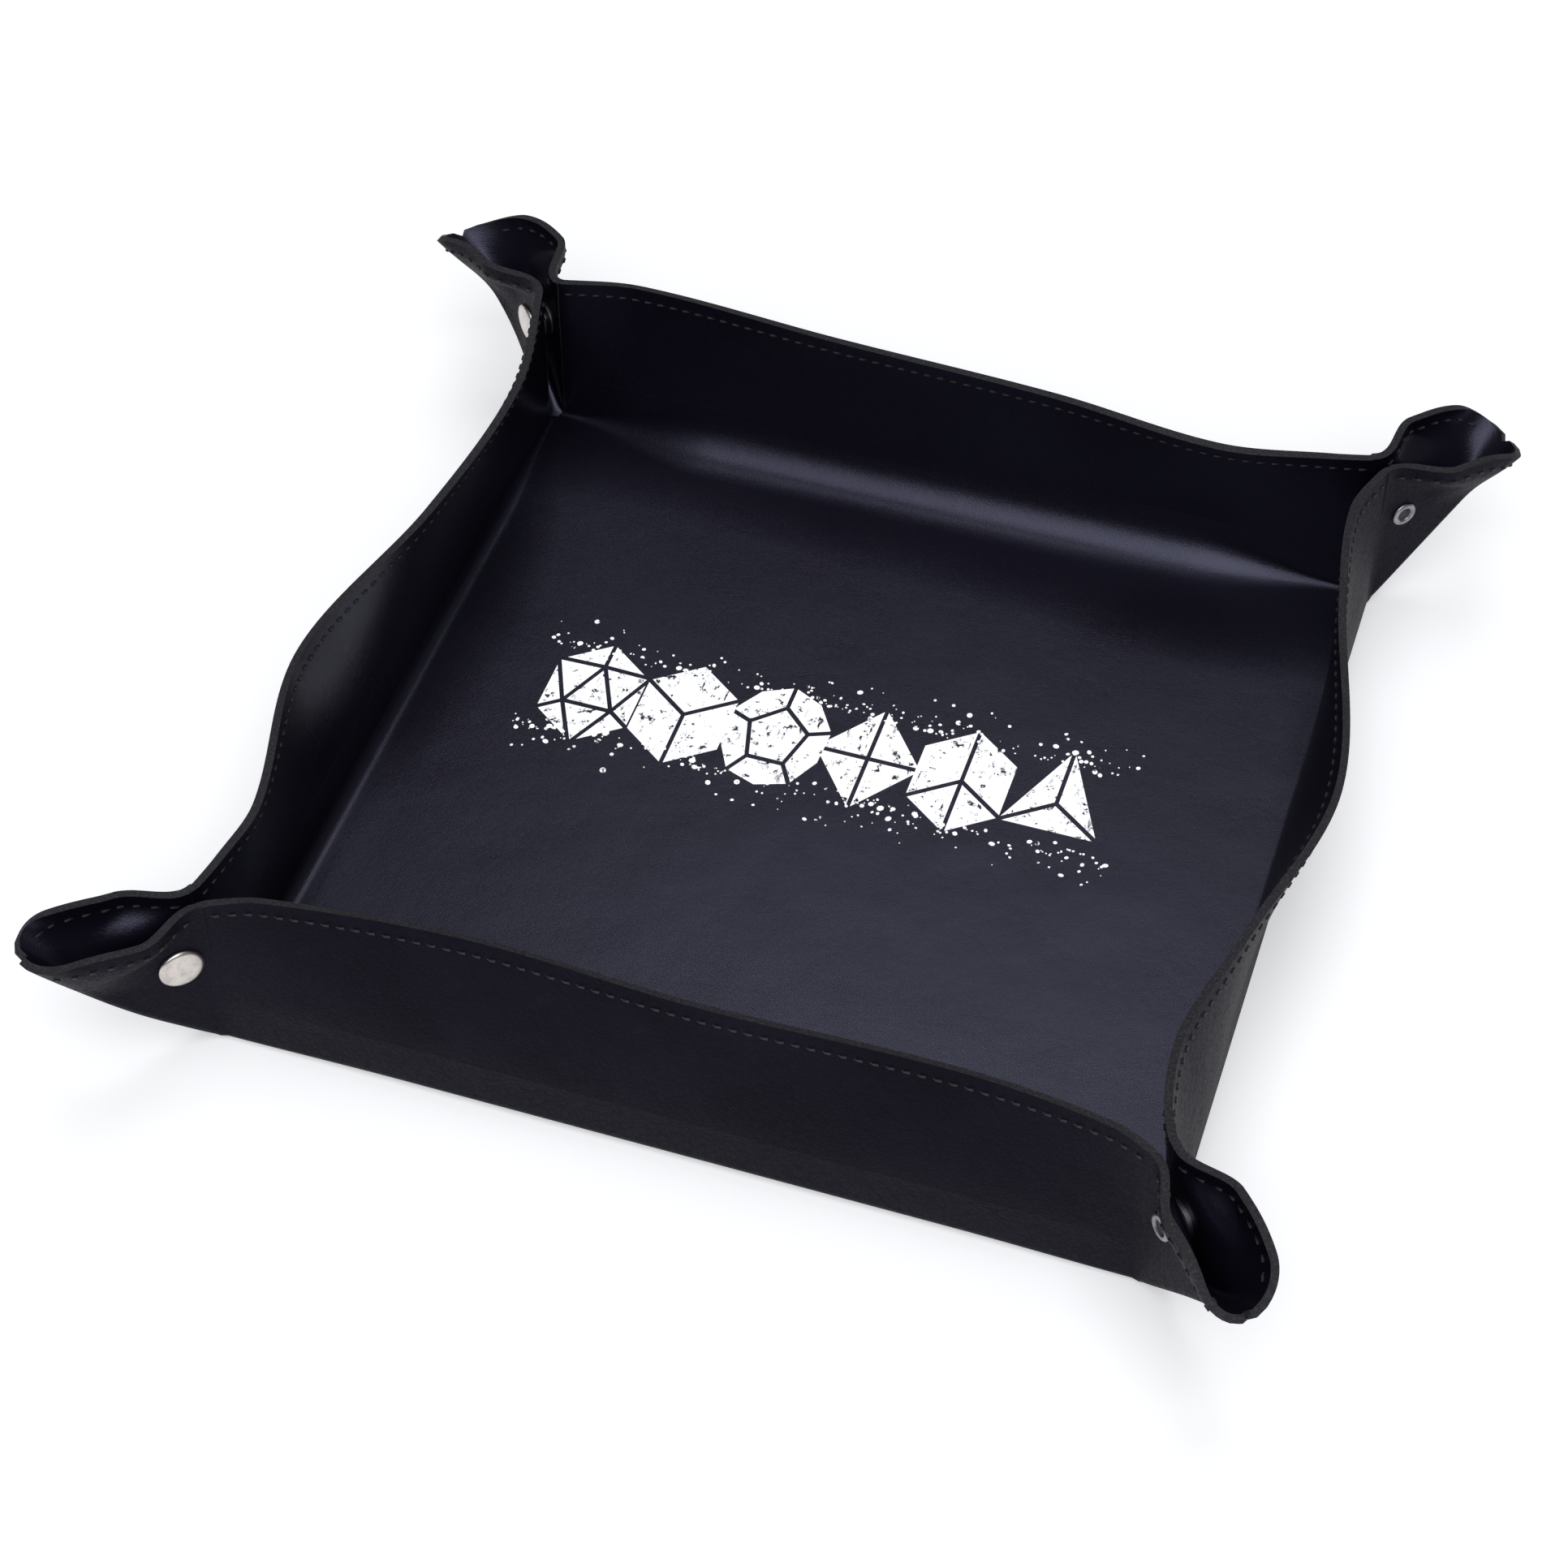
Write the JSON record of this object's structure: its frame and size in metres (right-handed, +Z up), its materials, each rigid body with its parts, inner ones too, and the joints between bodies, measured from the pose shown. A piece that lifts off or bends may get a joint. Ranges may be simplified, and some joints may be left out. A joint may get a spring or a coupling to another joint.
{
  "type": "folding dice tray",
  "caption": "Square soft leatherette rolling tray whose flat sheet folds up into four low walls, each corner pinched into a pointed ear and closed by a press snap.",
  "frame": {"origin": "centre of the tray's underside, on the surface it stands on", "axes": "+Z up out of the tray, +X to the right and -Y to the front, walls parallel to X and Y"},
  "size_m": [0.2672, 0.2672, 0.0438],
  "materials": {
    "outer_leather": "pebbled matt",
    "liner_leather": "smooth satin",
    "cap_nickel": "satin nickel",
    "eyelet_steel": "dark nickel",
    "snap_steel": "satin",
    "thread": "twisted thread"
  },
  "bodies": {
    "base": {"base_outer": "outer_leather", "base_liner": "liner_leather"},
    "wall_front": {"wall_front_outer": "outer_leather", "wall_front_liner": "liner_leather", "thread_wall_front": "thread"},
    "wall_right": {"wall_right_outer": "outer_leather", "wall_right_liner": "liner_leather", "thread_wall_right": "thread"},
    "wall_back": {"wall_back_outer": "outer_leather", "wall_back_liner": "liner_leather", "thread_wall_back": "thread"},
    "wall_left": {"wall_left_outer": "outer_leather", "wall_left_liner": "liner_leather", "thread_wall_left": "thread"},
    "flap_right_cap": {"flap_right_cap_outer": "outer_leather", "flap_right_cap_liner": "liner_leather", "thread_flap_right_cap": "thread", "snap_front_right_cap": "cap_nickel", "snap_front_right_socket": "snap_steel"},
    "flap_front_stud": {"flap_front_stud_outer": "outer_leather", "flap_front_stud_liner": "liner_leather", "thread_flap_front_stud": "thread", "snap_front_right_stud": "snap_steel", "snap_front_right_eyelet": "eyelet_steel"},
    "flap_back_cap": {"flap_back_cap_outer": "outer_leather", "flap_back_cap_liner": "liner_leather", "thread_flap_back_cap": "thread", "snap_back_right_cap": "cap_nickel", "snap_back_right_socket": "snap_steel"},
    "flap_right_stud": {"flap_right_stud_outer": "outer_leather", "flap_right_stud_liner": "liner_leather", "thread_flap_right_stud": "thread", "snap_back_right_stud": "snap_steel", "snap_back_right_eyelet": "eyelet_steel"},
    "flap_left_cap": {"flap_left_cap_outer": "outer_leather", "flap_left_cap_liner": "liner_leather", "thread_flap_left_cap": "thread", "snap_back_left_cap": "cap_nickel", "snap_back_left_socket": "snap_steel"},
    "flap_back_stud": {"flap_back_stud_outer": "outer_leather", "flap_back_stud_liner": "liner_leather", "thread_flap_back_stud": "thread", "snap_back_left_stud": "snap_steel", "snap_back_left_eyelet": "eyelet_steel"},
    "flap_front_cap": {"flap_front_cap_outer": "outer_leather", "flap_front_cap_liner": "liner_leather", "thread_flap_front_cap": "thread", "snap_front_left_cap": "cap_nickel", "snap_front_left_socket": "snap_steel"},
    "flap_left_stud": {"flap_left_stud_outer": "outer_leather", "flap_left_stud_liner": "liner_leather", "thread_flap_left_stud": "thread", "snap_front_left_stud": "snap_steel", "snap_front_left_eyelet": "eyelet_steel"}
  },
  "joints": [
    {"name": "front_wall_fold", "type": "hinge", "parent": "base", "child": "wall_front", "pos_m": [0, -0.103, 0.0018], "axis": [1, 0, 0], "range_deg": [0, 90]},
    {"name": "right_wall_fold", "type": "hinge", "parent": "base", "child": "wall_right", "pos_m": [0.103, 0, 0.0018], "axis": [0, 1, 0], "range_deg": [0, 90]},
    {"name": "back_wall_fold", "type": "hinge", "parent": "base", "child": "wall_back", "pos_m": [0, 0.103, 0.0018], "axis": [-1, 0, 0], "range_deg": [0, 90]},
    {"name": "left_wall_fold", "type": "hinge", "parent": "base", "child": "wall_left", "pos_m": [-0.103, 0, 0.0018], "axis": [0, -1, 0], "range_deg": [0, 90]},
    {"name": "right_cap_flap_fold", "type": "hinge", "parent": "wall_right", "child": "flap_right_cap", "pos_m": [0.103, -0.10102, 0.0018], "axis": [0, 0, -1], "range_deg": [0, 45]},
    {"name": "front_stud_flap_fold", "type": "hinge", "parent": "wall_front", "child": "flap_front_stud", "pos_m": [0.10102, -0.103, 0.0018], "axis": [0, 0, 1], "range_deg": [0, 45]},
    {"name": "back_cap_flap_fold", "type": "hinge", "parent": "wall_back", "child": "flap_back_cap", "pos_m": [0.10102, 0.103, 0.0018], "axis": [0, 0, -1], "range_deg": [0, 45]},
    {"name": "right_stud_flap_fold", "type": "hinge", "parent": "wall_right", "child": "flap_right_stud", "pos_m": [0.103, 0.10102, 0.0018], "axis": [0, 0, 1], "range_deg": [0, 45]},
    {"name": "left_cap_flap_fold", "type": "hinge", "parent": "wall_left", "child": "flap_left_cap", "pos_m": [-0.103, 0.10102, 0.0018], "axis": [0, 0, -1], "range_deg": [0, 45]},
    {"name": "back_stud_flap_fold", "type": "hinge", "parent": "wall_back", "child": "flap_back_stud", "pos_m": [-0.10102, 0.103, 0.0018], "axis": [0, 0, 1], "range_deg": [0, 45]},
    {"name": "front_cap_flap_fold", "type": "hinge", "parent": "wall_front", "child": "flap_front_cap", "pos_m": [-0.10102, -0.103, 0.0018], "axis": [0, 0, -1], "range_deg": [0, 45]},
    {"name": "left_stud_flap_fold", "type": "hinge", "parent": "wall_left", "child": "flap_left_stud", "pos_m": [-0.103, -0.10102, 0.0018], "axis": [0, 0, 1], "range_deg": [0, 45]}
  ],
  "couplings": [
    {"joint": "right_wall_fold", "follows": "front_wall_fold", "ratio": 1},
    {"joint": "back_wall_fold", "follows": "front_wall_fold", "ratio": 1},
    {"joint": "left_wall_fold", "follows": "front_wall_fold", "ratio": 1},
    {"joint": "right_cap_flap_fold", "follows": "front_wall_fold", "ratio": 0.5},
    {"joint": "front_stud_flap_fold", "follows": "front_wall_fold", "ratio": 0.5},
    {"joint": "back_cap_flap_fold", "follows": "front_wall_fold", "ratio": 0.5},
    {"joint": "right_stud_flap_fold", "follows": "front_wall_fold", "ratio": 0.5},
    {"joint": "left_cap_flap_fold", "follows": "front_wall_fold", "ratio": 0.5},
    {"joint": "back_stud_flap_fold", "follows": "front_wall_fold", "ratio": 0.5},
    {"joint": "front_cap_flap_fold", "follows": "front_wall_fold", "ratio": 0.5},
    {"joint": "left_stud_flap_fold", "follows": "front_wall_fold", "ratio": 0.5}
  ]
}
